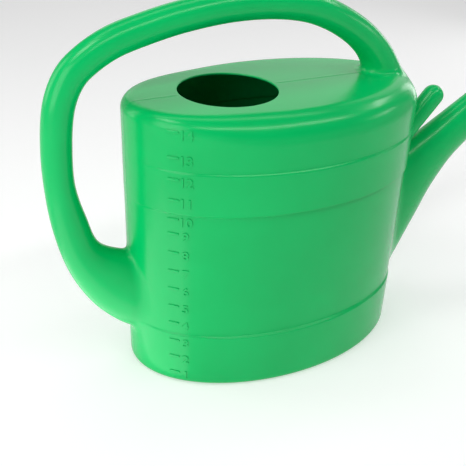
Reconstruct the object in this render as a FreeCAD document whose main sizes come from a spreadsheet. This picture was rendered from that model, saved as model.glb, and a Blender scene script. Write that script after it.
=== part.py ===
"""Fourteen-litre watering can: a hollow oval tank with a hoop handle, a tapered spout,
a peg that stores the rose, raised litre marks, and a two-piece push-on rose."""

import FreeCAD, Part
import math
import os

# Driving sizes, in millimetres and degrees. X runs from handle to spout, Z is up.
SIZES = {
    # tank
    "wall": 2.2,
    "tank_half_length": 162.0,
    "base_half_width": 99.0,
    "panel_half_width": 95.5,
    "belt_half_width": 99.5,
    "upper_half_width": 97.5,
    "base_ledge_z": 65.5,
    "belt_low_z": 204.5,
    "belt_high_z": 249.0,
    "tank_height": 300.0,
    "ledge_rise": 3.0,
    "belt_ledge_rise": 1.6,
    "shoulder_radius": 26.0,
    "base_radius": 6.0,
    "filler_x": -55.5,
    "filler_radius": 49.5,
    "joint_low_z": 60.0,
    "joint_high_z": 253.0,
    "joint_spout_z": 222.0,
    "slab_length": 1000.0,
    "slab_width": 240.0,
    # spout
    "spout_angle": 39.0,
    "tip_x": 366.0,
    "tip_z": 312.0,
    "tip_radius": 12.0,
    "tip_length": 30.0,
    # peg that holds the rose while it is off the spout
    "peg_angle": 49.3,
    "peg_root_x": 150.0,
    "peg_root_z": 198.0,
    "peg_length": 96.0,
    "peg_radius": 12.0,
    "collar_radius": 12.6,
    "collar_end": 38.0,
    "collar_slope": 6.0,
    # rose
    "socket_gap": 0.3,
    "socket_wall": 2.0,
    "socket_length": 26.0,
    "funnel_length": 40.0,
    "face_radius": 33.0,
    "rim_length": 9.0,
    "face_skin": 1.6,
    "face_dome": 4.0,
    "collar_length": 6.0,
    "jet_radius": 0.9,
    "jet_pitch": 6.6,
    "jet_rings": 4.0,
    # litre scale
    "mark_x": -139.0,
    "mark_first_z": 14.0,
    "mark_pitch": 21.2,
    "mark_tenth_z": 199.5,
    "marks_below_belt": 9.0,
    "marks_up_the_belt": 4.0,
    "mark_last_z": 288.0,
    "mark_length": 11.4,
    "mark_height": 2.4,
    "mark_rise": 0.7,
    "digit_width": 4.2,
    "digit_height": 8.4,
    "digit_stroke": 1.1,
    "digit_gap": 5.0,
    "number_arc": 18.4,
    "number_drop": 3.0,
    "mark_sunk": 2.7,
}

# Oval sections of the handle, from the top's front foot round to the tank's rear wall:
# centre x, centre z, direction of the thickness in the XZ plane (degrees from +X),
# half thickness, half width.
HANDLE_SECTIONS = [
    (133.0, 272.0, 8.0, 30.0, 27.0),
    (127.0, 297.0, 16.0, 22.0, 21.0),
    (112.0, 323.0, 36.0, 17.0, 16.5),
    (84.0, 347.0, 60.0, 15.2, 15.0),
    (42.0, 368.0, 73.0, 14.6, 14.5),
    (0.0, 377.0, 83.0, 14.4, 14.4),
    (-50.0, 378.6, 92.6, 14.4, 14.4),
    (-100.0, 373.2, 99.6, 14.4, 14.4),
    (-140.0, 364.5, 105.0, 14.4, 14.4),
    (-173.0, 354.0, 112.0, 14.4, 14.4),
    (-201.6, 336.0, 135.0, 14.4, 14.4),
    (-214.0, 319.7, 150.0, 14.4, 14.4),
    (-222.0, 297.0, 165.0, 14.4, 14.4),
    (-226.3, 260.0, 175.0, 14.4, 14.4),
    (-226.3, 224.0, 184.0, 14.5, 14.4),
    (-220.6, 186.0, 197.0, 17.2, 15.0),
    (-209.3, 146.0, 213.0, 20.6, 17.0),
    (-184.6, 115.6, 232.0, 33.0, 20.5),
    (-162.0, 98.0, 246.0, 42.0, 25.0),
    (-146.0, 92.0, 256.0, 49.0, 28.0),
]

# Oval sections of the spout, from inside the tank to the straight tip.
SPOUT_SECTIONS = [
    (153.9, 106.5, 92.7, 83.5, 29.0),
    (171.0, 132.0, 97.9, 64.6, 27.0),
    (185.8, 153.5, 103.6, 50.0, 25.0),
    (201.7, 175.9, 112.0, 38.1, 23.0),
    (221.4, 199.1, 124.0, 28.4, 21.0),
    (240.6, 215.3, 128.0, 25.0, 19.0),
    (270.6, 237.9, 129.0, 21.4, 17.0),
    (309.4, 268.1, 129.0, 16.5, 14.8),
    (366.0, 312.0, 129.0, 12.0, 12.0),
]

SECTION_COLUMNS = ("x", "z", "lean", "thick", "wide")
STATION_GAP = 18.0
RING_POINTS = 24

# Which of the seven bars each digit uses.
SEGMENTS = {
    "0": "abcdef", "1": "bc", "2": "abged", "3": "abgcd", "4": "fgbc",
    "5": "afgcd", "6": "afgedc", "7": "abc", "8": "abcdefg", "9": "gfabcd",
}


def section_sizes(tube, sections):
    """Spreadsheet names and values for every number of a tube's sections."""
    return {f"{tube}_{column}_{index}": value
            for index, section in enumerate(sections)
            for column, value in zip(SECTION_COLUMNS, section)}


def make_sheet(doc):
    """Puts every driving size in a spreadsheet cell with an alias."""
    sheet = doc.addObject("Spreadsheet::Sheet", "Sizes")
    sizes = dict(SIZES)
    sizes.update(section_sizes("handle", HANDLE_SECTIONS))
    sizes.update(section_sizes("spout", SPOUT_SECTIONS))
    for row, (alias, value) in enumerate(sizes.items(), start=1):
        sheet.set(f"A{row}", alias)
        sheet.set(f"B{row}", str(value))
        sheet.setAlias(f"B{row}", alias)
    doc.recompute()
    return sheet


def sections_of(sheet, tube, count):
    """A tube's sections, read back from the spreadsheet."""
    return [[getattr(sheet, f"{tube}_{column}_{index}") for column in SECTION_COLUMNS]
            for index in range(count)]


def bind(obj, **expressions):
    """Binds properties to spreadsheet expressions; an underscore pair stands for a dot."""
    for name, expression in expressions.items():
        obj.setExpression(name.replace("__", "."), expression)
    return obj


def placed(x=0.0, y=0.0, z=0.0, axis=(0, 0, 1), angle=0.0):
    rotation = FreeCAD.Rotation(FreeCAD.Vector(*axis), angle)
    return FreeCAD.Placement(FreeCAD.Vector(x, y, z), rotation)


def boolean(doc, kind, name, base, tool):
    """A cut or common of two objects, without merging the faces afterwards."""
    result = doc.addObject(f"Part::{kind}", name)
    result.Base = base
    result.Tool = tool
    result.Refine = False
    return result


def join(doc, name, parts):
    fuse = doc.addObject("Part::MultiFuse", name)
    fuse.Shapes = parts
    fuse.Refine = False
    return fuse


def cut(doc, name, base, tool):
    return boolean(doc, "Cut", name, base, tool)


def common(doc, name, base, tool):
    return boolean(doc, "Common", name, base, tool)


def loft(doc, name, sections, ruled):
    result = doc.addObject("Part::Loft", name)
    result.Sections = sections
    result.Solid = True
    result.Ruled = ruled
    return result


def level_oval(doc, name, half_width, height, inset):
    """A horizontal ellipse of the tank at one height, inset by an expression."""
    oval = doc.addObject("Part::Ellipse", name)
    bind(oval, MajorRadius=f"Sizes.tank_half_length - ({inset})",
         MinorRadius=f"{half_width} - ({inset})", Placement__Base__z=height)
    return oval


def tank_solid(doc, name, inset):
    """The tank's solid outer shape (inset 0) or its cavity (inset = wall)."""
    rise = "Sizes.ledge_rise"
    belt_rise = "Sizes.belt_ledge_rise"
    levels = [
        ("Sizes.base_half_width", inset),
        ("Sizes.base_half_width", f"Sizes.base_ledge_z - {rise}"),
        ("Sizes.panel_half_width", "Sizes.base_ledge_z"),
        ("Sizes.panel_half_width", "Sizes.belt_low_z"),
        ("Sizes.belt_half_width", f"Sizes.belt_low_z + {belt_rise}"),
        ("Sizes.belt_half_width", f"Sizes.belt_high_z - {belt_rise}"),
        ("Sizes.upper_half_width", f"Sizes.belt_high_z + {belt_rise}"),
        ("Sizes.upper_half_width", f"Sizes.tank_height - ({inset})"),
    ]
    ovals = [level_oval(doc, f"{name}_level{i}", width, height, inset)
             for i, (width, height) in enumerate(levels)]
    body = loft(doc, f"{name}_loft", ovals, True)
    doc.recompute()
    low = min(range(len(body.Shape.Edges)),
              key=lambda i: body.Shape.Edges[i].BoundBox.ZMax)
    high = max(range(len(body.Shape.Edges)),
               key=lambda i: body.Shape.Edges[i].BoundBox.ZMin)
    rounded = doc.addObject("Part::Fillet", name)
    rounded.Base = body
    sheet = doc.Sizes
    shrink = sheet.wall if inset != "0" else 0.0
    rounded.Edges = [(low + 1, sheet.base_radius - shrink, sheet.base_radius - shrink),
                     (high + 1, sheet.shoulder_radius - shrink,
                      sheet.shoulder_radius - shrink)]
    return rounded


def smooth_rows(sections):
    """Rows of section numbers at close stations, on a smooth curve through the given ones."""
    along = [0.0]
    for a, b in zip(sections, sections[1:]):
        along.append(along[-1] + math.hypot(b[0] - a[0], b[1] - a[1]))
    last = len(sections) - 1

    def slope(i, column):
        low, high = max(i - 1, 0), min(i + 1, last)
        return (sections[high][column] - sections[low][column]) / (along[high] - along[low])

    rows = []
    for i in range(last):
        gap = along[i + 1] - along[i]
        steps = max(1, round(gap / STATION_GAP))
        for step in range(steps):
            u = step / steps
            start, end = 2 * u**3 - 3 * u**2 + 1, 3 * u**2 - 2 * u**3
            leave, arrive = gap * (u**3 - 2 * u**2 + u), gap * (u**3 - u**2)
            rows.append([start * sections[i][c] + end * sections[i + 1][c]
                         + leave * slope(i, c) + arrive * slope(i + 1, c)
                         for c in range(len(SECTION_COLUMNS))])
    rows.append(list(sections[last]))
    return rows


def oval_ring(row, inset):
    """Points round one oval section, closed on its first point."""
    x, z, angle, thick, wide = row
    lean = math.radians(angle)
    turns = [2 * math.pi * i / RING_POINTS for i in range(RING_POINTS)] + [0.0]
    return [FreeCAD.Vector(x + (thick - inset) * math.cos(t) * math.cos(lean),
                           (wide - inset) * math.sin(t),
                           z + (thick - inset) * math.cos(t) * math.sin(lean))
            for t in turns]


def tube_solid(doc, name, sections, inset):
    """A closed solid skinned over oval sections, with flat ends."""
    surface = Part.BSplineSurface()
    surface.interpolate([oval_ring(row, inset) for row in smooth_rows(sections)])
    start, end = surface.bounds()[:2]
    ends = [Part.Face(Part.Wire([surface.uIso(u).toShape()])) for u in (start, end)]
    shell = Part.makeShell([surface.toShape()] + ends)
    shell.sewShape()
    solid = Part.Solid(shell)
    if solid.Volume < 0:
        solid.reverse()
    feature = doc.addObject("Part::Feature", name)
    feature.Shape = solid
    return feature


def rod(doc, name, radius, length, x, z, angle):
    """A cylinder whose axis lies in the XZ plane, tilted up from +X by an angle."""
    cylinder = doc.addObject("Part::Cylinder", name)
    bind(cylinder, Radius=radius, Height=length)
    cylinder.Placement = placed(axis=(0, 1, 0), angle=90.0)
    bind(cylinder, Placement__Base__x=x, Placement__Base__z=z,
         Placement__Rotation__Angle=f"90 - ({angle})")
    return cylinder


def taper(doc, name, low, high, length, x, z, angle):
    """A cone frustum whose axis lies in the XZ plane, tilted up from +X by an angle."""
    cone = doc.addObject("Part::Cone", name)
    bind(cone, Radius1=low, Radius2=high, Height=length)
    cone.Placement = placed(axis=(0, 1, 0), angle=90.0)
    bind(cone, Placement__Base__x=x, Placement__Base__z=z,
         Placement__Rotation__Angle=f"90 - ({angle})")
    return cone


def make_spout(doc, tank):
    sections = sections_of(doc.Sizes, "spout", len(SPOUT_SECTIONS))
    outer = tube_solid(doc, "spout_outer", sections, 0.0)
    inner = tube_solid(doc, "spout_inner", sections, doc.Sizes.wall)
    at_tip = ("Sizes.tip_x", "Sizes.tip_z", "Sizes.spout_angle")
    sleeve = rod(doc, "tip_outer", "Sizes.tip_radius", "Sizes.tip_length", *at_tip)
    bore = rod(doc, "tip_inner", "Sizes.tip_radius - Sizes.wall",
               "Sizes.tip_length + 1", *at_tip)
    whole = join(doc, "spout_whole", [outer, sleeve])
    hollow = join(doc, "spout_hollow", [inner, bore])
    tube = cut(doc, "spout_tube", whole, hollow)
    spout = cut(doc, "spout", tube, tank)
    halves = [("spout_root", "0", "Sizes.joint_spout_z"),
              ("spout_neck", "Sizes.joint_spout_z", "Sizes.slab_width * 2")]
    return divide(doc, spout, halves), outer, inner


def make_handle(doc, tank):
    sections = sections_of(doc.Sizes, "handle", len(HANDLE_SECTIONS))
    outer = tube_solid(doc, "handle_outer", sections, 0.0)
    inner = tube_solid(doc, "handle_inner", sections, doc.Sizes.wall)
    tube = cut(doc, "handle_tube", outer, inner)
    return cut(doc, "handle_outside", tube, tank), inner


def peg_place(along):
    """Expressions for the point at a distance along the peg's axis, and its angle."""
    angle = "Sizes.peg_angle"
    return (f"Sizes.peg_root_x + ({along}) * cos({angle} * 1deg)",
            f"Sizes.peg_root_z + ({along}) * sin({angle} * 1deg)", angle)


def capsule(doc, name, radius, start):
    """A round-ended peg along the peg's axis, starting a distance out from its root."""
    reach = "(Sizes.peg_length - Sizes.peg_radius)"
    shaft = rod(doc, f"{name}_shaft", radius, f"{reach} - ({start})", *peg_place(start))
    end = doc.addObject("Part::Sphere", f"{name}_end")
    x, z, _ = peg_place(reach)
    bind(end, Radius=radius, Placement__Base__x=x, Placement__Base__z=z)
    return join(doc, name, [shaft, end])


def make_peg(doc, tank, spout_outer):
    """The peg, with a slightly thicker root that stops the rose's socket."""
    straight = capsule(doc, "peg_straight", "Sizes.peg_radius", "0")
    collar = rod(doc, "peg_collar", "Sizes.collar_radius", "Sizes.collar_end", *peg_place("0"))
    slope = taper(doc, "peg_slope", "Sizes.collar_radius", "Sizes.peg_radius",
                  "Sizes.collar_slope", *peg_place("Sizes.collar_end"))
    outer = join(doc, "peg_outer", [straight, collar, slope])
    inner = capsule(doc, "peg_inner", "Sizes.peg_radius - Sizes.wall", "-1")
    shell = cut(doc, "peg_shell", outer, inner)
    off_tank = cut(doc, "peg_off_tank", shell, tank)
    return cut(doc, "rose_peg", off_tank, spout_outer)


def slab(doc, name, low, high):
    """A block wider than the can between two heights, used to divide it."""
    block = doc.addObject("Part::Box", name)
    bind(block, Length="Sizes.slab_length", Width="Sizes.slab_width",
         Height=f"({high}) - ({low})", Placement__Base__z=low,
         Placement__Base__x="-Sizes.slab_length / 2",
         Placement__Base__y="-Sizes.slab_width / 2")
    return block


def divide(doc, whole, ranges):
    """Nodes that share one shape between them, each between two heights."""
    return [common(doc, name, whole, slab(doc, f"{name}_slab", low, high))
            for name, low, high in ranges]


def make_tank(doc, tank, cavity, bores):
    """Divides the tank's wall into base, side wall and top deck."""
    shell = cut(doc, "tank_shell", tank, cavity)
    filler = doc.addObject("Part::Cylinder", "filler_hole")
    bind(filler, Radius="Sizes.filler_radius", Height="Sizes.wall * 4",
         Placement__Base__x="Sizes.filler_x",
         Placement__Base__z="Sizes.tank_height - Sizes.wall * 2")
    opened = cut(doc, "tank_with_filler", shell, filler)
    for index, bore in enumerate(bores):
        opened = cut(doc, f"tank_with_bore{index}", opened, bore)
    return divide(doc, opened, [
        ("tank_base", "-1", "Sizes.joint_low_z"),
        ("tank_wall", "Sizes.joint_low_z", "Sizes.joint_high_z"),
        ("tank_top", "Sizes.joint_high_z", "Sizes.tank_height + 1")])


def tank_half_width(sheet, z):
    if z < sheet.base_ledge_z:
        return sheet.base_half_width
    if z < sheet.belt_low_z:
        return sheet.panel_half_width
    return sheet.belt_half_width if z < sheet.belt_high_z else sheet.upper_half_width


def shoulder_lean(sheet, z):
    """How far the rounded shoulder has drawn in at a height, and its slope in degrees."""
    radius = sheet.shoulder_radius
    over = max(0.0, z - (sheet.tank_height - radius))
    return radius - math.sqrt(radius ** 2 - over ** 2), math.degrees(math.asin(over / radius))


def wall_placement(sheet, arc, z):
    """The frame on the tank's near side, an arc length along from the marks: its X runs
    along the wall, its Z up the wall, and its Y into the wall."""
    inset, slope = shoulder_lean(sheet, z)
    long, short = sheet.tank_half_length, tank_half_width(sheet, z)
    turn = math.acos(sheet.mark_x / long)
    turn -= arc / math.hypot(long * math.sin(turn), short * math.cos(turn))
    point = FreeCAD.Vector((long - inset) * math.cos(turn), (inset - short) * math.sin(turn), z)
    heading = math.degrees(math.atan2(short * math.cos(turn), long * math.sin(turn)))
    turned = FreeCAD.Rotation(FreeCAD.Vector(0, 0, 1), heading)
    leaned = FreeCAD.Rotation(FreeCAD.Vector(1, 0, 0), -slope)
    return FreeCAD.Placement(point, turned * leaned)


def raised_bar(sheet, arc, z, length, height):
    """A low bar centred on the tank's wall and sunk into it."""
    bar = Part.makeBox(length, sheet.mark_rise + sheet.mark_sunk, height,
                       FreeCAD.Vector(-length / 2, -sheet.mark_rise, -height / 2))
    bar.Placement = wall_placement(sheet, arc, z)
    return bar


def mark_heights(sheet):
    low = [sheet.mark_first_z + i * sheet.mark_pitch for i in range(int(sheet.marks_below_belt))]
    high = [sheet.mark_tenth_z + i * sheet.mark_pitch for i in range(int(sheet.marks_up_the_belt))]
    return low + high + [sheet.mark_last_z]


def digit_bars(sheet, digit, arc, z):
    """The strokes of one digit as seven-segment bars."""
    wide, tall, stroke = sheet.digit_width, sheet.digit_height, sheet.digit_stroke
    side, rung = (wide - stroke) / 2, (tall - stroke) / 2
    places = {
        "a": (0, rung, wide, stroke), "g": (0, 0, wide, stroke),
        "d": (0, -rung, wide, stroke), "b": (side, rung / 2, stroke, tall / 2),
        "c": (side, -rung / 2, stroke, tall / 2), "f": (-side, rung / 2, stroke, tall / 2),
        "e": (-side, -rung / 2, stroke, tall / 2),
    }
    bars = [raised_bar(sheet, arc + places[key][0], z + places[key][1],
                       places[key][2], places[key][3]) for key in SEGMENTS[digit]]
    return bars[0].multiFuse(bars[1:]).removeSplitter() if len(bars) > 1 else bars[0]


def make_marks(doc, tank):
    """Fourteen ticks, and their numbers, standing proud of the tank's wall."""
    sheet = doc.Sizes
    ticks = []
    numbers = []
    for index, z in enumerate(mark_heights(sheet)):
        ticks.append(raised_bar(sheet, sheet.mark_length / 2, z, sheet.mark_length,
                                sheet.mark_height))
        text = str(index + 1)
        for place, digit in enumerate(text):
            arc = sheet.number_arc + (place - (len(text) - 1) / 2) * sheet.digit_gap
            numbers.append(digit_bars(sheet, digit, arc, z - sheet.number_drop))
    nodes = []
    for name, shapes in (("litre_ticks", ticks), ("litre_numbers", numbers)):
        proud = [shape.cut(tank.Shape) for shape in shapes]
        node = doc.addObject("Part::Feature", name)
        node.Shape = Part.Compound([solid for shape in proud for solid in shape.Solids])
        nodes.append(node)
    return nodes


def revolve_profile(doc, name, points):
    """Turns an outline of (radius, distance along the axis) about the spout's axis."""
    sheet = doc.Sizes
    outline = [FreeCAD.Vector(radius, 0, along) for radius, along in points]
    wire = Part.makePolygon(outline + outline[:1])
    solid = Part.Face(wire).revolve(FreeCAD.Vector(), FreeCAD.Vector(0, 0, 1), 360)
    node = doc.addObject("Part::Feature", name)
    node.Shape = Part.Solid(solid) if solid.ShapeType == "Shell" else solid
    node.Placement = tip_placement(sheet)
    return node


def tip_placement(sheet):
    """The frame at the tip's open end: its Z points out along the spout."""
    angle = math.radians(sheet.spout_angle)
    x = sheet.tip_x + sheet.tip_length * math.cos(angle)
    z = sheet.tip_z + sheet.tip_length * math.sin(angle)
    return placed(x, 0.0, z, (0, 1, 0), 90.0 - sheet.spout_angle)


def make_rose_shell(doc):
    """Socket, stop, funnel and rim of the rose."""
    sheet = doc.Sizes
    bore = sheet.tip_radius + sheet.socket_gap
    skin = sheet.socket_wall
    neck = sheet.tip_radius - sheet.wall
    stop = sheet.socket_gap
    flare = sheet.face_radius
    funnel = sheet.funnel_length
    rim = funnel + sheet.rim_length
    points = [
        (bore, -sheet.socket_length), (bore + skin, -sheet.socket_length),
        (bore + skin, stop + skin), (flare + skin, funnel),
        (flare + skin, rim), (flare, rim), (flare, funnel + skin / 2),
        (neck, stop + skin), (neck, stop), (bore, stop),
    ]
    return revolve_profile(doc, "rose_shell", points)


def upright(radius, low, high, x=0.0, y=0.0):
    """A cylinder along Z between two heights."""
    return Part.makeCylinder(radius, high - low, FreeCAD.Vector(x, y, low))


def make_rose_face(doc):
    """The perforated face: a shallow dome on a collar that snaps into the rim."""
    sheet = doc.Sizes
    outer = sheet.face_radius - sheet.socket_gap
    skin = sheet.face_skin
    dome = sheet.face_dome
    top = sheet.funnel_length + sheet.rim_length
    base = top - sheet.collar_length
    crown = top + dome
    dome_radius = (outer ** 2 + dome ** 2) / (2 * dome)
    centre = FreeCAD.Vector(0, 0, crown - dome_radius)
    cap = Part.makeSphere(dome_radius, centre).cut(Part.makeSphere(dome_radius - skin, centre))
    cap = cap.common(upright(outer, top - skin, crown))
    collar = upright(outer, base, top).cut(upright(outer - skin, base, crown))
    jets = [upright(sheet.jet_radius, base, crown, x, y) for x, y in jet_places(sheet)]
    node = doc.addObject("Part::Feature", "rose_face")
    node.Shape = cap.fuse(collar).removeSplitter().cut(Part.Compound(jets)).Solids[0]
    node.Placement = tip_placement(sheet)
    return node


def jet_places(sheet):
    places = [(0.0, 0.0)]
    for ring in range(1, int(sheet.jet_rings) + 1):
        radius = ring * sheet.jet_pitch
        count = 6 * ring
        for i in range(count):
            turn = 2 * math.pi * i / count
            places.append((radius * math.cos(turn), radius * math.sin(turn)))
    return places


def keep_largest(doc, name, whole):
    """The main solid of a shape, without slivers left by a cut."""
    node = doc.addObject("Part::Feature", name)
    node.Shape = max(whole.Shape.Solids, key=lambda solid: solid.Volume)
    return node


def check(doc, nodes):
    for obj in doc.Objects:
        bad = [state for state in obj.State if state in ("Invalid", "Error")]
        if bad:
            raise RuntimeError(f"{obj.Name} is {bad}")
    for node in nodes:
        if node.Shape.isNull() or not node.Shape.isValid():
            raise RuntimeError(f"{node.Name} has no valid shape")
        if not node.Shape.Solids:
            raise RuntimeError(f"{node.Name} has no solid")


def build():
    doc = FreeCAD.newDocument("watering_can")
    make_sheet(doc)
    tank = tank_solid(doc, "tank", "0")
    cavity = tank_solid(doc, "cavity", "Sizes.wall")
    spout_parts, spout_outer, spout_inner = make_spout(doc, tank)
    handle, handle_inner = make_handle(doc, tank)
    peg = make_peg(doc, tank, spout_outer)
    shells = make_tank(doc, tank, cavity, [spout_inner, handle_inner])
    doc.recompute()
    handle = keep_largest(doc, "handle", handle)
    marks = make_marks(doc, tank)
    nodes = shells + [handle] + spout_parts + [peg] + marks
    nodes += [make_rose_shell(doc), make_rose_face(doc)]
    doc.recompute()
    for node in nodes:
        node.Label = node.Name
    check(doc, nodes)
    os.makedirs("parts", exist_ok=True)
    for node in nodes:
        box = node.Shape.BoundBox
        print(f"{node.Label}: {len(node.Shape.Solids)} solids, "
              f"{node.Shape.Volume / 1000:.1f} cm3, x {box.XMin:.1f} to {box.XMax:.1f}, "
              f"y {box.YMin:.1f} to {box.YMax:.1f}, z {box.ZMin:.1f} to {box.ZMax:.1f}")
        node.Shape.exportStep(f"parts/{node.Label}.step")


build()
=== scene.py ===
"""Looks of the oval watering can: one continuous moulded skin with filleted joints, raised litre
marks, a two-piece rose, satin green polyethylene, a pale floor and soft studio light."""

import math

import bmesh
import bpy
import numpy as np
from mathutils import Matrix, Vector


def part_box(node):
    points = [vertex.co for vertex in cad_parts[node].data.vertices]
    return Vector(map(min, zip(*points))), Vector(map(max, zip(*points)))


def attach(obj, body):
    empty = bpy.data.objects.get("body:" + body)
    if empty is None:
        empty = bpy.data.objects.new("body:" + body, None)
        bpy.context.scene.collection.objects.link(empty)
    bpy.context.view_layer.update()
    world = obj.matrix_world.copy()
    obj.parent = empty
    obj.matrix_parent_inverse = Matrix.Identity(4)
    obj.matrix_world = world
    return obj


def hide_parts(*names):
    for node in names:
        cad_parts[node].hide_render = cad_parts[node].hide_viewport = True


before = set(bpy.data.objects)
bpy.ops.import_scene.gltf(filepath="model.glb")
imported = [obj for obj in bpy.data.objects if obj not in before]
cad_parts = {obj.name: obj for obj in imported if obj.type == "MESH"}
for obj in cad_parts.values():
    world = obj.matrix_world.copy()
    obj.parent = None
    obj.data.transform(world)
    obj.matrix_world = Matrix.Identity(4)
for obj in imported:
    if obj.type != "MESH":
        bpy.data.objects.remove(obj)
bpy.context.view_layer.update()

MM = 0.001

# ---------------------------------------------------------------- the can's shape, in millimetres

TANK_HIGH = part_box("tank_top")[1] / MM
HALF_LENGTH = TANK_HIGH.x
HEIGHT = TANK_HIGH.z
BASE_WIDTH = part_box("tank_base")[1].y / MM
BELT_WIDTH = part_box("tank_wall")[1].y / MM
UPPER_WIDTH = TANK_HIGH.y
PANEL_WIDTH = 95.5
# The tank's half width changes at three ledges: centre height, height of the slope, step outwards.
LEDGES = [
    (64.0, 3.0, PANEL_WIDTH - BASE_WIDTH),
    (205.3, 2.4, BELT_WIDTH - PANEL_WIDTH),
    (249.0, 2.6, UPPER_WIDTH - BELT_WIDTH),
]
SHOULDER_RADIUS = 26.0
# Behind REAR_START times the half length the shoulder tightens, over REAR_SPREAD of it.
REAR_SHOULDER_RADIUS = 12.0
REAR_START = 0.3125
REAR_SPREAD = 0.625
BASE_RADIUS = 6.0
WALL = 2.2
FILLER_X = -55.5
FILLER_RADIUS = 49.5
# The moulding's parting line: a low ridge along the tank's middle plane.
SEAM_RISE = 0.22
SEAM_WIDTH = 0.8
SEAM_REACH = 8.0

# Oval sections of the two tubes: centre x and z, lean of the thickness from +X in degrees,
# half thickness and half width.
HANDLE = [
    (133.0, 272.0, 8.0, 30.0, 27.0),
    (127.0, 297.0, 16.0, 22.0, 21.0),
    (112.0, 323.0, 36.0, 17.0, 16.5),
    (84.0, 347.0, 60.0, 15.2, 15.0),
    (42.0, 368.0, 73.0, 14.6, 14.5),
    (0.0, 377.0, 83.0, 14.4, 14.4),
    (-50.0, 378.6, 92.6, 14.4, 14.4),
    (-100.0, 373.2, 99.6, 14.4, 14.4),
    (-140.0, 364.5, 105.0, 14.4, 14.4),
    (-173.0, 354.0, 112.0, 14.4, 14.4),
    (-201.6, 336.0, 135.0, 14.4, 14.4),
    (-214.0, 319.7, 150.0, 14.4, 14.4),
    (-222.0, 297.0, 165.0, 14.4, 14.4),
    (-226.3, 260.0, 175.0, 14.4, 14.4),
    (-226.3, 224.0, 184.0, 14.5, 14.4),
    (-220.6, 186.0, 197.0, 17.2, 15.0),
    (-209.3, 146.0, 213.0, 20.6, 17.0),
    (-184.6, 115.6, 232.0, 33.0, 20.5),
    (-162.0, 98.0, 246.0, 42.0, 25.0),
    (-146.0, 92.0, 256.0, 49.0, 28.0),
]
SPOUT = [
    (153.9, 106.5, 92.7, 83.5, 29.0),
    (171.0, 132.0, 97.9, 64.6, 27.0),
    (185.8, 153.5, 103.6, 50.0, 25.0),
    (201.3, 176.8, 112.0, 37.1, 23.0),
    (221.4, 199.1, 124.0, 28.4, 21.0),
    (241.1, 214.7, 128.0, 25.8, 19.0),
    (271.6, 236.5, 129.0, 23.5, 17.0),
    (310.4, 266.8, 129.0, 18.4, 14.8),
    (366.0, 312.0, 129.0, 12.0, 12.0),
    (389.3, 330.9, 129.0, 12.0, 12.0),
]
ACROSS = np.array([0.0, 1.0, 0.0])
SPOUT_ANGLE = math.radians(39.0)
SPOUT_AXIS = np.array([math.cos(SPOUT_ANGLE), 0.0, math.sin(SPOUT_ANGLE)])
TIP_END = np.array([389.3, 0.0, 330.9])
TIP_RADIUS = 12.0
PEG_ROOT = np.array([150.0, 0.0, 198.0])
PEG_ANGLE = math.radians(49.3)
PEG_AXIS = np.array([math.cos(PEG_ANGLE), 0.0, math.sin(PEG_ANGLE)])
PEG_REACH = 84.0
PEG_RADIUS = 12.0

# How widely the field of each limb melts into the tank, in millimetres.
HANDLE_MELT = 8.0
SPOUT_MELT = 10.0
PEG_MELT = 7.0
# A tube's field is worked out in the box of its centre line, grown by its thickest section and
# TUBE_MARGIN, and within TUBE_SIDE_REACH of the middle plane. Elsewhere it is FAR.
TUBE_MARGIN = 30.0
TUBE_SIDE_REACH = 75.0
FAR = 500.0
POINTS_AT_ONCE = 20000
# Newton's search for the section that a point belongs to.
SECTION_STEPS = 6
LEAST_SLOPE = 0.2
LONGEST_STEP = 25.0


def around(count):
    """Evenly spaced angles for one whole turn."""
    return np.linspace(0.0, 2 * math.pi, count, endpoint=False)


def smooth_step(t):
    t = np.clip(t, 0.0, 1.0)
    return t * t * (3.0 - 2.0 * t)


def tank_half_width(z):
    """Half the tank's width at some heights, with its three ledges."""
    width = np.full_like(z, BASE_WIDTH)
    for centre, rise, step in LEDGES:
        width += step * smooth_step((z - centre) / rise + 0.5)
    return width


def oval_distance(u, v, a, b):
    """Nearly the distance from an ellipse with half axes a and b; negative inside.

    The formula fails close to the centre, where it is enough to say well inside."""
    near = np.sqrt((u / a) ** 2 + (v / b) ** 2)
    steep = np.sqrt((u / a ** 2) ** 2 + (v / b ** 2) ** 2)
    return np.where(near > 0.3, near * (near - 1.0) / np.maximum(steep, 1e-6), -0.5 * b)


def rounded_corner(side, lid, radius):
    """Distance from a wall and a lid that meet in a rounded corner."""
    u, v = side + radius, lid + radius
    outside = np.hypot(np.maximum(u, 0.0), np.maximum(v, 0.0))
    return outside + np.minimum(np.maximum(u, v), 0.0) - radius


def tank_field(p):
    x, y, z = p.T
    side = oval_distance(x, y, HALF_LENGTH, tank_half_width(z))
    rear = smooth_step((-x / HALF_LENGTH - REAR_START) / REAR_SPREAD)
    shoulder = SHOULDER_RADIUS + (REAR_SHOULDER_RADIUS - SHOULDER_RADIUS) * rear
    top = rounded_corner(side, z - HEIGHT, shoulder)
    bottom = rounded_corner(side, -z, BASE_RADIUS)
    return np.where(z > HEIGHT / 2, top, bottom)


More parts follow.
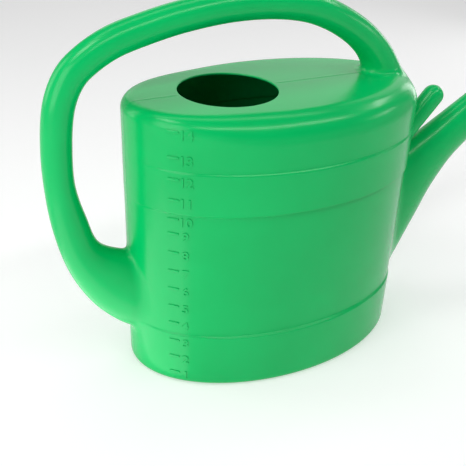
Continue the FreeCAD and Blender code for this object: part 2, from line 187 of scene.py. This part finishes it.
class Tube:
    """An oval tube through given sections, as a field and as rings of points."""

    def __init__(self, sections, gap=3.0):
        rows = np.array(sections)
        steps = np.hypot(*np.diff(rows[:, :2], axis=0).T)
        along = np.concatenate([[0.0], np.cumsum(steps)])
        slopes = np.empty_like(rows)
        slopes[1:-1] = (rows[2:] - rows[:-2]) / (along[2:] - along[:-2])[:, None]
        slopes[0] = (rows[1] - rows[0]) / steps[0]
        slopes[-1] = (rows[-1] - rows[-2]) / steps[-1]
        self.s = np.linspace(0.0, along[-1], int(along[-1] / gap))
        i = np.clip(np.searchsorted(along, self.s, "right") - 1, 0, len(rows) - 2)
        reach = steps[i][:, None]
        t = ((self.s - along[i]) / steps[i])[:, None]
        self.rows = ((2 * t ** 3 - 3 * t ** 2 + 1) * rows[i] + (3 * t ** 2 - 2 * t ** 3) * rows[i + 1]
                     + reach * (t ** 3 - 2 * t ** 2 + t) * slopes[i]
                     + reach * (t ** 3 - t ** 2) * slopes[i + 1])
        self.rows[:, 2] = np.radians(self.rows[:, 2])
        self.turns = np.gradient(self.rows, self.s, axis=0)

    def at(self, s):
        """The section's centre, lean, half thickness and half width at a length along the tube."""
        return [np.interp(s, self.s, column) for column in self.rows.T]

    def field(self, p):
        """Distance from the tube's wall for the points near it, and FAR for the others."""
        reach = self.rows[:, 3].max() + TUBE_MARGIN
        low = self.rows[:, :2].min(0) - reach
        high = self.rows[:, :2].max(0) + reach
        near = np.flatnonzero((p[:, 0] > low[0]) & (p[:, 0] < high[0]) & (p[:, 2] > low[1])
                              & (p[:, 2] < high[1]) & (abs(p[:, 1]) < TUBE_SIDE_REACH))
        result = np.full(len(p), FAR)
        for part in np.array_split(near, max(1, len(near) // POINTS_AT_ONCE)):
            if len(part):
                result[part] = self.near_field(p[part])
        return result

    def near_field(self, p):
        """Finds each point's own section by Newton's steps, then its distance from that oval."""
        x, y, z = p.T
        gaps = np.hypot(x[:, None] - self.rows[None, ::2, 0], z[:, None] - self.rows[None, ::2, 1])
        s = self.s[::2][gaps.argmin(1)]
        for _ in range(SECTION_STEPS):
            cx, cz, lean = self.at(s)[:3]
            dx, dz, dlean = [np.interp(s, self.s, self.turns[:, c]) for c in range(3)]
            off = -(x - cx) * np.sin(lean) + (z - cz) * np.cos(lean)
            along = (x - cx) * np.cos(lean) + (z - cz) * np.sin(lean)
            slope = dx * np.sin(lean) - dz * np.cos(lean) - along * dlean
            slope = np.where(abs(slope) < LEAST_SLOPE, np.copysign(LEAST_SLOPE, slope), slope)
            s = np.clip(s - np.clip(off / slope, -LONGEST_STEP, LONGEST_STEP), 0.0, self.s[-1])
        cx, cz, lean, thick, wide = self.at(s)
        off = -(x - cx) * np.sin(lean) + (z - cz) * np.cos(lean)
        along = (x - cx) * np.cos(lean) + (z - cz) * np.sin(lean)
        wall = oval_distance(along, y, thick, wide)
        beyond = abs(off)
        return np.where(beyond > 0.5, np.hypot(np.maximum(wall, 0.0), beyond), wall)

    def rings(self, inset):
        turns = around(40)
        rings = []
        for x, z, lean, thick, wide in self.rows[::2]:
            u, v = (thick - inset) * np.cos(turns), (wide - inset) * np.sin(turns)
            rings.append(np.column_stack([x + u * math.cos(lean), v, z + u * math.sin(lean)]))
        return rings


HANDLE_TUBE = Tube(HANDLE)
SPOUT_TUBE = Tube(SPOUT)


def peg_field(p):
    along = np.clip((p - PEG_ROOT) @ PEG_AXIS, 0.0, PEG_REACH)
    return np.linalg.norm(p - PEG_ROOT - along[:, None] * PEG_AXIS, axis=1) - PEG_RADIUS


def melt(a, b, width):
    """The smaller of two fields, with a fillet where they are alike."""
    mix = np.maximum(width - abs(a - b), 0.0) / width
    return np.minimum(a, b) - mix * mix * width / 4.0


def can_field(p):
    """Negative inside the whole moulding, zero on its skin."""
    tank = tank_field(p)
    field = melt(tank, HANDLE_TUBE.field(p), HANDLE_MELT)
    field = melt(field, SPOUT_TUBE.field(p), SPOUT_MELT)
    field = melt(field, peg_field(p), PEG_MELT)
    on_tank = smooth_step(1.0 - abs(tank) / SEAM_REACH) * (p[:, 2] > BASE_RADIUS)
    return field - SEAM_RISE * on_tank * np.exp(-(p[:, 1] / SEAM_WIDTH) ** 2)


def gradient(p, step=0.2):
    """The field's slope, from its values a small step to each side."""
    sides = []
    for axis in range(3):
        shift = np.zeros(3)
        shift[axis] = step
        sides.append((can_field(p + shift) - can_field(p - shift)) / (2 * step))
    return np.column_stack(sides)


# ---------------------------------------------------------------- meshing

# Where a coordinate is stretched for meshing: centres, reach each side of one, and the gain there.
Z_FINE = ([centre for centre, _, _ in LEDGES], 3.0, 2.0)
Y_FINE = ([0.0], 1.5, 3.0)
# The range of each coordinate that unwarp can return.
Z_RANGE = (-20.0, 420.0)
Y_RANGE = (-150.0, 150.0)
OUTER_VOXEL = 2.4
INNER_VOXEL = 6.0
# Rings of points round the half-round edge of an opening.
LIP_STEPS = 8
# A meshed point is moved onto the field's surface in NEWTON_STEPS, none over LONGEST_MOVE.
NEWTON_STEPS = 4
LONGEST_MOVE = 3.0


def warp(values, centres, reach, gain):
    """Stretches a coordinate near some places, so that an even grid is finer there."""
    out = values.astype(float).copy()
    for centre in centres:
        out += gain * reach * np.clip((values - centre) / reach, -1.0, 1.0)
    return out


def unwarp(values, centres, reach, gain, low, high):
    """Undoes warp, by looking the stretched values up in a fine table of it."""
    table = np.linspace(low, high, 20001)
    return np.interp(values, warp(table, centres, reach, gain), table)


def loft_faces(count, ring_count):
    """Quads between rings of count points, and a cap on the first ring and on the last."""
    faces = []
    for r in range(ring_count - 1):
        for i in range(count):
            j = (i + 1) % count
            a, b = r * count, (r + 1) * count
            faces.append((a + i, a + j, b + j, b + i))
    faces.append(tuple(reversed(range(count))))
    faces.append(tuple(range((ring_count - 1) * count, ring_count * count)))
    return faces


def tank_rings(inset):
    """Rings up the tank that draw in round the shoulder."""
    turns = around(200)
    rings = []
    for z in np.linspace(inset, HEIGHT - inset, 60):
        top = max(0.0, z - (HEIGHT - SHOULDER_RADIUS))
        pull = inset + SHOULDER_RADIUS - math.sqrt(max(SHOULDER_RADIUS ** 2 - top ** 2, 0.0))
        width = tank_half_width(np.array([z]))[0]
        rings.append(np.column_stack([(HALF_LENGTH - pull) * np.cos(turns),
                                      (width - pull) * np.sin(turns), np.full_like(turns, z)]))
    return rings


def peg_rings(inset):
    """Rings along the peg's straight part, and then round its domed end."""
    turns = around(32)
    side = np.array([-math.sin(PEG_ANGLE), 0.0, math.cos(PEG_ANGLE)])
    radius = PEG_RADIUS - inset
    stations = [(s, radius) for s in np.linspace(0.0, PEG_REACH, 20)]
    stations += [(PEG_REACH + radius * math.sin(t), radius * math.cos(t))
                 for t in np.linspace(0.2, 1.45, 6)]
    return [PEG_ROOT + s * PEG_AXIS + r * (np.cos(turns)[:, None] * side
                                           + np.sin(turns)[:, None] * ACROSS)
            for s, r in stations]


def placed_object(name, data):
    piece = bpy.data.objects.new(name, data)
    bpy.context.scene.collection.objects.link(piece)
    return piece


def rough_union(inset):
    """The tank, tubes and peg as overlapping closed meshes in the stretched space."""
    verts, faces = [], []
    for rings in (tank_rings(inset), HANDLE_TUBE.rings(inset), SPOUT_TUBE.rings(inset),
                  peg_rings(inset)):
        base = sum(len(v) for v in verts)
        faces += [tuple(base + i for i in face) for face in loft_faces(len(rings[0]), len(rings))]
        verts += rings
    points = np.vstack(verts)
    points[:, 1] = warp(points[:, 1], *Y_FINE)
    points[:, 2] = warp(points[:, 2], *Z_FINE)
    mesh = bpy.data.meshes.new("rough")
    mesh.from_pydata(points.tolist(), [], faces)
    return mesh


def skin(level, voxel):
    """Points, faces and normals of the surface where the can's field equals a level."""
    source = placed_object("rough", rough_union(-level))
    remesh = source.modifiers.new("voxels", "REMESH")
    remesh.mode = "VOXEL"
    remesh.voxel_size = voxel
    bpy.context.view_layer.update()
    graph = bpy.context.evaluated_depsgraph_get()
    mesh = bpy.data.meshes.new_from_object(source.evaluated_get(graph))
    points = np.empty(len(mesh.vertices) * 3)
    mesh.vertices.foreach_get("co", points)
    points = points.reshape(-1, 3)
    faces = [tuple(face.vertices) for face in mesh.polygons]
    bpy.data.objects.remove(source)
    bpy.data.meshes.remove(mesh)
    points[:, 1] = unwarp(points[:, 1], *Y_FINE, *Y_RANGE)
    points[:, 2] = unwarp(points[:, 2], *Z_FINE, *Z_RANGE)
    for _ in range(NEWTON_STEPS):
        slope = gradient(points)
        size = np.maximum((slope ** 2).sum(1), 0.05)
        move = ((can_field(points) - level) / size)[:, None] * slope
        length = np.maximum(np.linalg.norm(move, axis=1), 1e-9)
        points -= move * np.minimum(1.0, LONGEST_MOVE / length)[:, None]
    slope = gradient(points)
    normals = slope / np.linalg.norm(slope, axis=1)[:, None]
    print("skin", level, len(points), "points, worst", abs(can_field(points) - level).max())
    return points, faces, normals


# ---------------------------------------------------------------- openings in the skin

# An opening's edge lies within this distance outside its circle.
RIM_MARGIN = 12.0


def boundary_loop(faces, keep):
    """The ordered open edge of a mesh among the points that keep marks."""
    follow = {}
    pairs = set()
    for face in faces:
        for i, j in zip(face, face[1:] + face[:1]):
            pairs.add((i, j))
    for i, j in pairs:
        if (j, i) not in pairs and keep[i] and keep[j]:
            follow[j] = i
    start = next(iter(follow))
    loop = [start]
    while follow[loop[-1]] != start:
        loop.append(follow[loop[-1]])
    return loop


def open_round(points, faces, centre, axis, radius, inside):
    """Cuts away what is inside, and rounds the open edge into a circle in one plane."""
    faces = [face for face in faces if not any(inside[i] for i in face)]
    near = np.linalg.norm(points - centre, axis=1) < radius + RIM_MARGIN
    loop = boundary_loop(faces, near & ~inside)
    rim = points[loop] - centre
    rim -= (rim @ axis)[:, None] * axis
    points[loop] = centre + rim * (radius / np.linalg.norm(rim, axis=1))[:, None]
    return faces, loop


def loop_angles(points, loop, centre, axis):
    rim = points[loop] - centre
    return np.arctan2(rim @ np.cross(axis, ACROSS), rim @ ACROSS)


def zip_loops(points, first, second, centre, axis):
    """Triangles between two loops round one axis, whatever their point counts."""
    order = []
    for loop in (first, second):
        angles = loop_angles(points, loop, centre, axis)
        turn = np.unwrap(angles)
        if turn[-1] < turn[0]:
            loop, turn = loop[::-1], turn[::-1]
        start = int(np.argmin(np.mod(turn, 2 * math.pi)))
        loop = list(loop[start:]) + list(loop[:start])
        angles = np.mod(loop_angles(points, loop, centre, axis), 2 * math.pi)
        order.append((loop, list(angles)))
    (a, at), (b, bt) = order
    at, bt = at + [at[0] + 2 * math.pi], bt + [bt[0] + 2 * math.pi]
    faces, i, j = [], 0, 0
    while i < len(a) or j < len(b):
        if j >= len(b) or (i < len(a) and at[i + 1] <= bt[j + 1]):
            faces.append((a[i % len(a)], a[(i + 1) % len(a)], b[j % len(b)]))
            i += 1
        else:
            faces.append((a[i % len(a)], b[(j + 1) % len(b)], b[j % len(b)]))
            j += 1
    return faces


class Shell:
    """Outer and inner skins of the can, joined by rounded lips at its two openings."""

    def __init__(self, outer_voxel, inner_voxel):
        outer = skin(0.0, outer_voxel)
        inner = skin(-WALL, inner_voxel)
        offset = len(outer[0])
        self.points = np.vstack([outer[0], inner[0]])
        self.normals = np.vstack([outer[2], -inner[2]])
        self.faces = list(outer[1])
        self.inner_faces = [tuple(i + offset for i in reversed(face)) for face in inner[1]]
        self.is_inner = np.arange(len(self.points)) >= offset

    def add_ring(self, last, points, normals):
        """One more ring of points, joined to the last ring by quads."""
        count = len(last)
        ring = list(range(len(self.points), len(self.points) + count))
        self.points = np.vstack([self.points, points])
        self.normals = np.vstack([self.normals, normals])
        self.is_inner = np.concatenate([self.is_inner, np.zeros(count, bool)])
        self.faces += [(last[i], last[(i + 1) % count], ring[(i + 1) % count], ring[i])
                       for i in range(count)]
        return ring

    def lip(self, centre, axis, radius, inside):
        """Opens both skins round an axis and joins them with a half-round edge."""
        half = WALL / 2
        rim_radius = radius + WALL
        self.faces, outer = open_round(self.points, self.faces, centre, axis, rim_radius,
                                       inside & ~self.is_inner)
        sunk = centre - WALL * axis
        self.inner_faces, inner = open_round(self.points, self.inner_faces, sunk, axis,
                                             rim_radius, inside & self.is_inner)
        self.normals[outer] = axis
        self.normals[inner] = -axis
        rim = (self.points[outer] - centre) / rim_radius
        last = outer
        for t in np.linspace(0.0, math.pi, LIP_STEPS):
            reach = radius + half - half * math.sin(t)
            drop = half - half * math.cos(t)
            last = self.add_ring(last, centre + reach * rim - drop * axis,
                                 -math.sin(t) * rim + math.cos(t) * axis)
        self.faces += zip_loops(self.points, last, inner, sunk, axis)

    def tip(self, centre, axis, radius, inside):
        """Opens the spout's end square across and joins the skins with a rounded edge."""
        half = WALL / 2
        start = centre - half * axis
        self.faces, outer = open_round(self.points, self.faces, start, axis, radius,
                                       inside & ~self.is_inner)
        self.inner_faces, inner = open_round(self.points, self.inner_faces, start, axis,
                                             radius - WALL, inside & self.is_inner)
        rim = (self.points[outer] - start) / radius
        self.normals[outer] = rim
        self.normals[inner] = -(self.points[inner] - start) / (radius - WALL)
        last = outer
        for t in np.linspace(0.0, math.pi, LIP_STEPS)[1:]:
            reach = radius - half + half * math.cos(t)
            last = self.add_ring(last, start + reach * rim + half * math.sin(t) * axis,
                                 math.cos(t) * rim + math.sin(t) * axis)
        self.faces += zip_loops(self.points, last, inner, start, axis)

    def object(self, name):
        """A piece of the points that are still used, shaded with the field's own normals."""
        faces = self.faces + self.inner_faces
        used = np.unique(np.concatenate([np.asarray(face) for face in faces]))
        index = np.full(len(self.points), -1)
        index[used] = np.arange(len(used))
        mesh = bpy.data.meshes.new(name)
        mesh.from_pydata((self.points[used] * MM).tolist(), [],
                         [tuple(int(index[i]) for i in face) for face in faces])
        mesh.shade_smooth()
        mesh.validate()
        mesh.normals_split_custom_set_from_vertices(self.normals[used].tolist())
        return placed_object(name, mesh)


def make_can():
    """The hollow can, opened at the filler mouth and at the spout's tip."""
    shell = Shell(OUTER_VOXEL, INNER_VOXEL)
    up = np.array([0.0, 0.0, 1.0])
    mouth = np.array([FILLER_X, 0.0, HEIGHT])
    gap = np.hypot(shell.points[:, 0] - FILLER_X, shell.points[:, 1])
    high = abs(shell.points[:, 2] - HEIGHT) < 3 * WALL
    shell.lip(mouth, up, FILLER_RADIUS, high & (gap < FILLER_RADIUS + WALL))
    beyond = (shell.points - TIP_END) @ SPOUT_AXIS > -WALL / 2
    on_spout = shell.points[:, 0] > HALF_LENGTH
    shell.tip(TIP_END, SPOUT_AXIS, TIP_RADIUS, beyond & on_spout)
    return shell.object("moulded_can")


# ---------------------------------------------------------------- raised litre marks

MARK_X = -139.0
MARK_PITCH = 21.2
FIRST_MARK = 14.0
FIRST_BELT_MARK = 199.5
TOP_MARK = 288.0
MARK_HEIGHTS = ([FIRST_MARK + MARK_PITCH * i for i in range(9)]
                + [FIRST_BELT_MARK + MARK_PITCH * i for i in range(4)] + [TOP_MARK])
MARK_LENGTH = 11.4
MARK_HALF_HEIGHT = 1.2
MARK_RISE = 0.9
MARK_SINK = 0.4
MARK_EDGE = 0.25
TICK_END_POINTS = 9
NUMBER_ARC = 17.4
NUMBER_DROP = 3.0
FONT_SIZE = 13.02
STROKE_GAIN = 0.16
STROKE_BEVEL = 0.12


def on_wall(arc, z, rise):
    """Points at arc lengths from the marks' left end, on the skin and then raised from it."""
    turn = math.acos(MARK_X / HALF_LENGTH)
    width = tank_half_width(z)
    speed = np.hypot(HALF_LENGTH * math.sin(turn), width * math.cos(turn))
    turn = turn - arc / speed
    p = np.column_stack([HALF_LENGTH * np.cos(turn), -width * np.sin(turn), z])
    for _ in range(NEWTON_STEPS):
        slope = gradient(p)
        p -= (can_field(p) / (slope ** 2).sum(1))[:, None] * slope
    slope = gradient(p)
    return p + rise[:, None] * slope / np.linalg.norm(slope, axis=1)[:, None]


def wrapped(name, flat_points, faces):
    """A mesh from (arc, height, rise) points wrapped onto the tank's near side."""
    flat = np.array(flat_points)
    points = on_wall(flat[:, 0], flat[:, 1], flat[:, 2])
    mesh = bpy.data.meshes.new(name)
    mesh.from_pydata((points * MM).tolist(), [], faces)
    mesh.validate()
    mesh.shade_smooth()
    mesh.set_sharp_from_angle(angle=math.radians(50.0))
    return placed_object(name, mesh)


def tick_outline(inset):
    """A bar with rounded ends, as points of arc and height about its middle."""
    radius = MARK_HALF_HEIGHT - inset
    straight = MARK_LENGTH / 2 - MARK_HALF_HEIGHT
    outline = []
    for side in (1, -1):
        for t in np.linspace(-math.pi / 2, math.pi / 2, TICK_END_POINTS):
            outline.append((side * (straight + radius * math.cos(t)), side * radius * math.sin(t)))
    return outline


def make_ticks():
    """Rounded bars, one for each litre, with a rounded upper edge and a foot sunk in the wall."""
    bevel = MARK_EDGE * 0.3
    profile = [(0.0, -MARK_SINK), (0.0, MARK_RISE - MARK_EDGE), (bevel, MARK_RISE - bevel),
               (MARK_EDGE, MARK_RISE)]
    points, faces = [], []
    for z in MARK_HEIGHTS:
        base = len(points)
        for inset, rise in profile:
            points += [(MARK_LENGTH / 2 + u, z + v, rise) for u, v in tick_outline(inset)]
        bar = loft_faces(2 * TICK_END_POINTS, len(profile))
        faces += [tuple(base + i for i in face) for face in bar]
    return wrapped("litre_tick_marks", points, faces)


def make_numerals():
    """Plain numerals 1 to 14, raised and wrapped on the wall beside their ticks."""
    points, faces = [], []
    for number, height in enumerate(MARK_HEIGHTS, start=1):
        curve = bpy.data.curves.new("numeral", "FONT")
        curve.body = str(number)
        curve.align_x = "CENTER"
        curve.align_y = "CENTER"
        curve.size = FONT_SIZE
        curve.offset = STROKE_GAIN
        curve.extrude = (MARK_RISE + MARK_SINK) / 2
        curve.bevel_depth = STROKE_BEVEL
        curve.bevel_resolution = 1
        curve.resolution_u = 6
        source = placed_object("numeral", curve)
        bpy.context.view_layer.update()
        graph = bpy.context.evaluated_depsgraph_get()
        mesh = bpy.data.meshes.new_from_object(source.evaluated_get(graph))
        base = len(points)
        top = max(v.co.z for v in mesh.vertices)
        points += [(NUMBER_ARC + v.co.x, height - NUMBER_DROP + v.co.y,
                    MARK_RISE + v.co.z - top) for v in mesh.vertices]
        faces += [tuple(base + i for i in face.vertices) for face in mesh.polygons]
        bpy.data.objects.remove(source)
        bpy.data.meshes.remove(mesh)
    return wrapped("litre_numerals", points, faces)


# ---------------------------------------------------------------- the rose's shell

# Its section on one side of the axis: radius, distance out from the spout's end, and the corner's
# own radius.
ROSE_OUTLINE = [
    (12.3, -26.0, 0.8), (15.2, -26.0, 0.9), (15.2, -22.4, 0.8), (14.2, -21.4, 0.7),
    (14.2, 2.0, 36.0), (34.4, 39.5, 6.0), (34.4, 45.8, 0.4), (35.0, 46.3, 0.3),
    (35.0, 49.0, 0.8), (33.0, 49.0, 0.5), (33.0, 41.0, 1.0), (9.8, 2.6, 5.0),
    (9.8, 0.3, 0.4), (12.3, 0.3, 0.4),
]
ROSE_STATIONS = 120
CORNER_POINTS = 6


def rounded_outline(corners):
    """The points of a closed outline whose corners are turned into arcs."""
    outline = []
    for i, (radius, along, size) in enumerate(corners):
        here = np.array([radius, along])
        back = np.array(corners[i - 1][:2]) - here
        ahead = np.array(corners[(i + 1) % len(corners)][:2]) - here
        back /= np.linalg.norm(back)
        ahead /= np.linalg.norm(ahead)
        half = math.acos(back @ ahead) / 2
        middle = (back + ahead) / np.linalg.norm(back + ahead)
        centre = here + middle * size / math.sin(half)
        start = here + back * size / math.tan(half) - centre
        end = here + ahead * size / math.tan(half) - centre
        sweep = math.atan2(start[0] * end[1] - start[1] * end[0], start @ end)
        for angle in np.linspace(0.0, sweep, CORNER_POINTS):
            turned = (start[0] * math.cos(angle) - start[1] * math.sin(angle),
                      start[0] * math.sin(angle) + start[1] * math.cos(angle))
            outline.append(centre + turned)
    return outline


def make_rose_shell():
    """Socket with a bead, flared funnel and rim, turned about the spout's axis."""
    outline = rounded_outline(ROSE_OUTLINE)
    other = np.cross(SPOUT_AXIS, ACROSS)
    points, faces = [], []
    for turn in around(ROSE_STATIONS):
        out = math.cos(turn) * ACROSS + math.sin(turn) * other
        points += [TIP_END + radius * out + along * SPOUT_AXIS for radius, along in outline]
    count = len(outline)
    for t in range(ROSE_STATIONS):
        a, b = t * count, (t + 1) % ROSE_STATIONS * count
        for i in range(count):
            j = (i + 1) % count
            faces.append((a + i, a + j, b + j, b + i))
    mesh = bpy.data.meshes.new("rose_funnel")
    mesh.from_pydata((np.array(points) * MM).tolist(), [], faces)
    shape = bmesh.new()
    shape.from_mesh(mesh)
    bmesh.ops.recalc_face_normals(shape, faces=shape.faces)
    shape.to_mesh(mesh)
    shape.free()
    mesh.shade_smooth()
    mesh.set_sharp_from_angle(angle=math.radians(40.0))
    return placed_object("rose_funnel", mesh)


# ---------------------------------------------------------------- materials

# The lighter and the darker of the two greens that each plastic clouds between.
CAN_GREENS = ((0.0, 0.48, 0.118), (0.0, 0.44, 0.106))
CAN_ROUGHNESS = 0.22
CAN_GRAIN = 900.0
ROSE_GREENS = ((0.0, 0.46, 0.12), (0.0, 0.42, 0.11))
ROSE_ROUGHNESS = 0.3
ROSE_GRAIN = 1500.0


def node(tree, kind, **settings):
    """A new shader node with its inputs or properties set by name."""
    made = tree.nodes.new(kind)
    for name, value in settings.items():
        if name in made.inputs:
            made.inputs[name].default_value = value
        else:
            setattr(made, name, value)
    return made


def set_ramp(ramp, low, low_colour, high, high_colour):
    first, second = ramp.color_ramp.elements
    first.position, first.color = low, (*low_colour, 1.0)
    second.position, second.color = high, (*high_colour, 1.0)


def moulded_plastic(name, light, dark, roughness, grain):
    """Satin polyethylene: faint cloudy colour, uneven gloss and a fine moulded grain."""
    material = bpy.data.materials.new(name)
    material.use_nodes = True
    tree = material.node_tree
    shader = tree.nodes["Principled BSDF"]
    shader.inputs["IOR"].default_value = 1.5
    shader.inputs["Specular IOR Level"].default_value = 0.26
    place = node(tree, "ShaderNodeTexCoord")
    cloud = node(tree, "ShaderNodeTexNoise", Scale=9.0, Detail=3.0, Roughness=0.55)
    tint = node(tree, "ShaderNodeValToRGB")
    set_ramp(tint, 0.35, dark, 0.65, light)
    tree.links.new(place.outputs["Object"], cloud.inputs["Vector"])
    tree.links.new(cloud.outputs["Fac"], tint.inputs["Fac"])
    tree.links.new(tint.outputs["Color"], shader.inputs["Base Color"])
    smear = node(tree, "ShaderNodeTexNoise", Scale=38.0, Detail=4.0, Roughness=0.6)
    gloss = node(tree, "ShaderNodeMapRange")
    gloss.inputs["To Min"].default_value = roughness - 0.03
    gloss.inputs["To Max"].default_value = roughness + 0.04
    tree.links.new(place.outputs["Object"], smear.inputs["Vector"])
    tree.links.new(smear.outputs["Fac"], gloss.inputs["Value"])
    tree.links.new(gloss.outputs["Result"], shader.inputs["Roughness"])
    fine = node(tree, "ShaderNodeTexNoise", Scale=grain, Detail=2.0)
    bump = node(tree, "ShaderNodeBump", Strength=0.06, Distance=0.0002)
    tree.links.new(place.outputs["Object"], fine.inputs["Vector"])
    tree.links.new(fine.outputs["Fac"], bump.inputs["Height"])
    tree.links.new(bump.outputs["Normal"], shader.inputs["Normal"])
    return material


def give_material(piece, material):
    piece.data.materials.clear()
    piece.data.materials.append(material)


# ---------------------------------------------------------------- stage, lights and camera

# The floor lies just under the can, and glows a little so that it renders as white paper.
FLOOR_REACH = 60.0
FLOOR_GAP = 0.0005
FLOOR_GLOW = 0.38
CAN_MIDDLE = (0.0, 0.0, 0.16)
DECK_MIDDLE = (0.0, 0.0, 0.3)
SHOULDER_FRONT = (0.06, -0.08, 0.3)
# Each softbox: name, place, target, width, height in metres, and power in watts.
SOFTBOXES = [
    ("key_left", (-1.5, -0.7, 0.8), CAN_MIDDLE, 1.0, 1.3, 13.0),
    ("left_high", (-0.8, -0.1, 1.4), (-0.13, -0.05, 0.29), 0.4, 0.34, 3.6),
    ("front_top", (0.15, -0.7, 1.35), (0.0, -0.05, 0.28), 1.8, 0.12, 7.0),
    ("overhead", (0.0, 0.3, 1.5), DECK_MIDDLE, 1.6, 0.26, 3.0),
    ("right_high", (1.15, 0.1, 1.15), SHOULDER_FRONT, 0.5, 0.11, 1.9),
    ("right_low", (1.25, -0.45, 0.72), SHOULDER_FRONT, 0.4, 0.11, 0.9),
    ("backdrop", (0.9, 1.8, 1.2), DECK_MIDDLE, 2.6, 1.2, 8.0),
    ("rear_left", (-1.5, 1.0, 0.9), CAN_MIDDLE, 0.7, 1.4, 7.0),
    ("rim_right", (1.5, 0.7, 0.4), CAN_MIDDLE, 0.25, 1.0, 2.5),
]
# A glowing card that lies face up by the can's left end, turned to follow the wall there.
CARD_PLACE = (-0.363, -0.098, 0.002)
CARD_TARGET = (-0.363, -0.098, 1.0)
CARD_TURN = math.radians(42.3)
# The viewpoint: 27 degrees round from square-on, 30 degrees up, rolled a little.
VIEW_TARGET = Vector((-0.0436, 0.0, 0.1350))
VIEW_DISTANCE = 0.784
VIEW_YAW = math.radians(26.98)
VIEW_RISE = math.radians(30.30)
VIEW_ROLL = math.radians(2.31)
LENS = 55.35
SENSOR = 36.0


def make_floor():
    far = FLOOR_REACH
    mesh = bpy.data.meshes.new("floor")
    mesh.from_pydata([(-far, -far, 0), (far, -far, 0), (far, far, 0), (-far, far, 0)], [],
                     [(0, 1, 2, 3)])
    floor = placed_object("floor", mesh)
    floor.location.z = -FLOOR_GAP
    material = bpy.data.materials.new("floor_paper")
    material.use_nodes = True
    tree = material.node_tree
    shader = tree.nodes["Principled BSDF"]
    shader.inputs["Roughness"].default_value = 0.9
    noise = node(tree, "ShaderNodeTexNoise", Scale=3.0, Detail=2.0)
    ramp = node(tree, "ShaderNodeValToRGB")
    set_ramp(ramp, 0.0, (0.70, 0.70, 0.70), 1.0, (0.74, 0.74, 0.74))
    shader.inputs["Emission Color"].default_value = (1.0, 1.0, 1.0, 1.0)
    shader.inputs["Emission Strength"].default_value = FLOOR_GLOW
    tree.links.new(noise.outputs["Fac"], ramp.inputs["Fac"])
    tree.links.new(ramp.outputs["Color"], shader.inputs["Base Color"])
    mesh.materials.append(material)


def aim(thing, place, target):
    thing.location = place
    thing.rotation_euler = (Vector(target) - Vector(place)).to_track_quat("-Z", "Y").to_euler()


def softbox(name, place, target, width, height, power):
    """A rectangular studio light that the camera itself doesn't see."""
    light = bpy.data.lights.new(name, "AREA")
    light.shape = "RECTANGLE"
    light.size = width
    light.size_y = height
    light.energy = power
    lamp = placed_object(name, light)
    lamp.visible_camera = False
    aim(lamp, place, target)
    return lamp


def make_sky():
    """Pale at the horizon and dim overhead, so that the softboxes do the lighting."""
    world = bpy.data.worlds.new("studio")
    world.use_nodes = True
    tree = world.node_tree
    place = node(tree, "ShaderNodeTexCoord")
    split = node(tree, "ShaderNodeSeparateXYZ")
    ramp = node(tree, "ShaderNodeValToRGB")
    set_ramp(ramp, 0.05, (0.60, 0.60, 0.60), 0.40, (0.09, 0.09, 0.09))
    tree.links.new(place.outputs["Generated"], split.inputs["Vector"])
    tree.links.new(split.outputs["Z"], ramp.inputs["Fac"])
    tree.links.new(ramp.outputs["Color"], tree.nodes["Background"].inputs["Color"])
    bpy.context.scene.world = world


def light_scene():
    make_sky()
    for box in SOFTBOXES:
        softbox(*box)
    card = softbox("floor_card", CARD_PLACE, CARD_TARGET, 0.38, 0.27, 0.42)
    card.rotation_euler = (math.pi, 0.0, CARD_TURN)


def add_camera():
    camera = bpy.data.cameras.new("camera")
    camera.lens = LENS
    camera.sensor_width = SENSOR
    viewer = placed_object("camera", camera)
    look = Vector((math.sin(VIEW_YAW) * math.cos(VIEW_RISE),
                   math.cos(VIEW_YAW) * math.cos(VIEW_RISE),
                   -math.sin(VIEW_RISE)))
    viewer.location = VIEW_TARGET - VIEW_DISTANCE * look
    viewer.rotation_euler = look.to_track_quat("-Z", "Y").to_euler()
    viewer.rotation_euler.rotate_axis("Z", VIEW_ROLL)
    bpy.context.scene.camera = viewer


# ---------------------------------------------------------------- the whole scene

def main():
    green = moulded_plastic("can_green", *CAN_GREENS, CAN_ROUGHNESS, CAN_GRAIN)
    rose_green = moulded_plastic("rose_green", *ROSE_GREENS, ROSE_ROUGHNESS, ROSE_GRAIN)
    can = make_can()
    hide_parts("tank_base", "tank_wall", "tank_top", "handle", "spout_root", "spout_neck",
                "rose_peg")
    ticks = make_ticks()
    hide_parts("litre_ticks")
    numerals = make_numerals()
    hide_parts("litre_numbers")
    for piece in (can, ticks, numerals):
        give_material(piece, green)
        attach(piece, "can")
    rose = make_rose_shell()
    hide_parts("rose_shell")
    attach(rose, "rose")
    give_material(rose, rose_green)
    give_material(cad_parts["rose_face"], rose_green)
    bpy.context.scene.view_settings.view_transform = "Standard"
    make_floor()
    light_scene()
    add_camera()


main()
